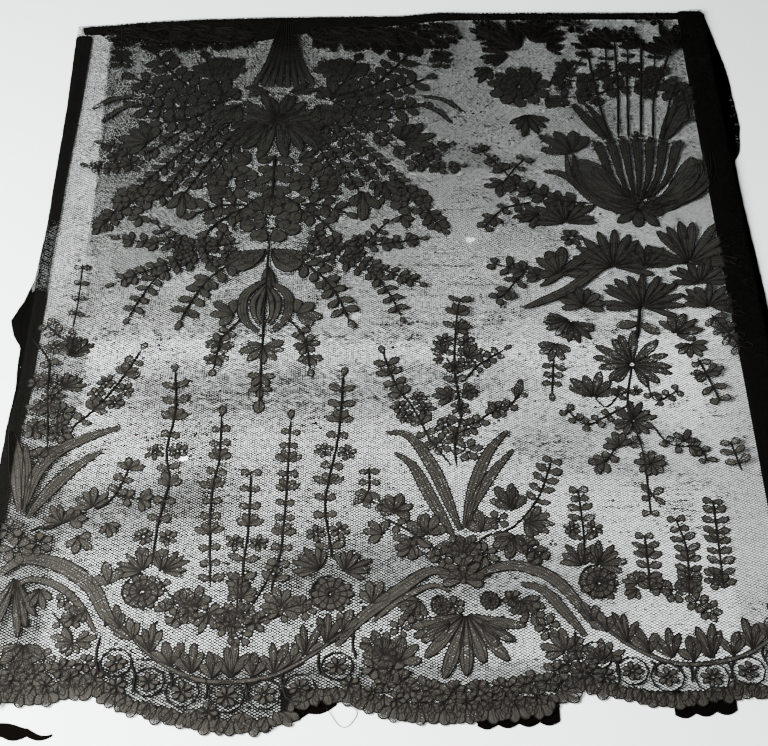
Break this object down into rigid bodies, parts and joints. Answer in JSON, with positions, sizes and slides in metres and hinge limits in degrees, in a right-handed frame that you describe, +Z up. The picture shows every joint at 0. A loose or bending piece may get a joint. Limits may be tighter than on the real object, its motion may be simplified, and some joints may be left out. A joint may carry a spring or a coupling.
{
  "type": "folded lace shawl",
  "caption": "Black floral lace shawl folded flat, its scalloped hem in front, see-through net on top and dark stacked folds along the sides and back.",
  "frame": {"origin": "middle of the flat underside, at the height of the surface that the shawl lies on", "axes": "+Z up, -Y towards the scalloped hem, +X to the right as seen from the hem"},
  "size_m": [0.662, 0.8141, 0.0068],
  "materials": {
    "lace_net": "black silk lace, see-through net with flower motifs, matt",
    "second_net": "second thickness of black net, see-through, matt",
    "stacked_layers": "stacked black lace, nearly opaque, matt",
    "lower_hems": "brown-black lace edge, matt"
  },
  "bodies": {
    "root": {"top_stretch": "lace_net", "second_stretch": "second_net", "left_layers": "stacked_layers", "back_layers": "stacked_layers", "right_layers": "stacked_layers", "hem_left": "lower_hems", "hem_middle": "lower_hems", "hem_centre": "lower_hems", "hem_right": "lower_hems"}
  },
  "joints": []
}
